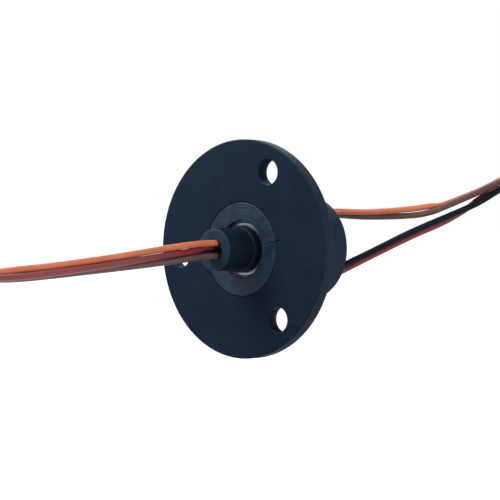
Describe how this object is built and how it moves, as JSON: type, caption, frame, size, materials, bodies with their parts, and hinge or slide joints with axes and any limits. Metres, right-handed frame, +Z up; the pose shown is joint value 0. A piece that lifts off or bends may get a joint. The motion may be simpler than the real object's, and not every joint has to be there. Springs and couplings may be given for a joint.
{
  "type": "slip ring",
  "caption": "Flanged capsule slip ring: a hollow rotor stub turns on ball bearings in a round moulded housing, with coloured leads from the stub and the rear cap.",
  "frame": {"origin": "centre of the flange's mounting face, on the rotor's axis", "axes": "+Y along the rotor's axis towards the rear cap, so the rotor stub points to -Y; +Z up, in the plane of the two lead exits"},
  "size_m": [0.0694, 0.1596, 0.0497],
  "materials": {
    "housing_plastic": "matte moulded engineering plastic, near black with a blue cast",
    "cap_plastic": "matte moulded plastic, slightly lighter than the housing",
    "shaft_plastic": "matte moulded plastic",
    "bearing_steel": "ground bearing steel",
    "shield_steel": "thin pressed steel",
    "cage_brass": "pressed brass",
    "ring_gold": "gold-plated brass, polished",
    "barrier_plastic": "natural moulded plastic",
    "block_plastic": "green glass-filled plastic",
    "potting": "black cast resin",
    "wire_copper": "enamelled copper wire",
    "tie_nylon": "black nylon",
    "lead_orange": "glossy orange wire insulation",
    "lead_red": "glossy red wire insulation",
    "lead_brown": "glossy brown wire insulation",
    "lead_black": "glossy black wire insulation"
  },
  "bodies": {
    "stator": {"flanged_housing": "housing_plastic", "front_cap": "cap_plastic", "rear_cap": "cap_plastic", "front_outer_race": "bearing_steel", "front_shields": "shield_steel", "rear_outer_race": "bearing_steel", "rear_shields": "shield_steel", "brush_block_right": "block_plastic", "brush_block_left": "block_plastic", "brush_spring_1": "ring_gold", "brush_spring_2": "ring_gold", "brush_spring_3": "ring_gold", "brush_spring_4": "ring_gold", "stator_wires": "wire_copper", "stator_lead_orange": "lead_orange", "stator_lead_brown": "lead_brown", "stator_lead_black": "lead_black", "stator_lead_red": "lead_red", "stator_lead_coil": "lead_orange", "stator_coil_tie": "tie_nylon"},
    "rotor": {"front_inner_race": "bearing_steel", "rear_inner_race": "bearing_steel", "rotor_shaft": "shaft_plastic", "shaft_collar": "shaft_plastic", "stack_clip": "shield_steel", "rotor_potting": "potting", "contact_ring_1": "ring_gold", "contact_ring_2": "ring_gold", "contact_ring_3": "ring_gold", "contact_ring_4": "ring_gold", "ring_barriers": "barrier_plastic", "rotor_wires": "wire_copper", "rotor_lead_orange": "lead_orange", "rotor_lead_red": "lead_red", "rotor_lead_brown": "lead_brown", "rotor_lead_black": "lead_black", "rotor_lead_coil": "lead_orange", "rotor_coil_tie": "tie_nylon"},
    "front_ball_set": {"front_balls": "bearing_steel", "front_cage": "cage_brass"},
    "rear_ball_set": {"rear_balls": "bearing_steel", "rear_cage": "cage_brass"}
  },
  "joints": [
    {"name": "rotor_spin", "type": "hinge", "parent": "stator", "child": "rotor", "pos_m": [0, 0, 0], "axis": [0, 1, 0], "continuous": true},
    {"name": "front_balls_spin", "type": "hinge", "parent": "stator", "child": "front_ball_set", "pos_m": [0, 0.00045, 0], "axis": [0, 1, 0], "continuous": true},
    {"name": "rear_balls_spin", "type": "hinge", "parent": "stator", "child": "rear_ball_set", "pos_m": [0, 0.0149, 0], "axis": [0, 1, 0], "continuous": true}
  ],
  "couplings": [
    {"joint": "front_balls_spin", "follows": "rotor_spin", "ratio": 0.4304},
    {"joint": "rear_balls_spin", "follows": "rotor_spin", "ratio": 0.3933}
  ]
}
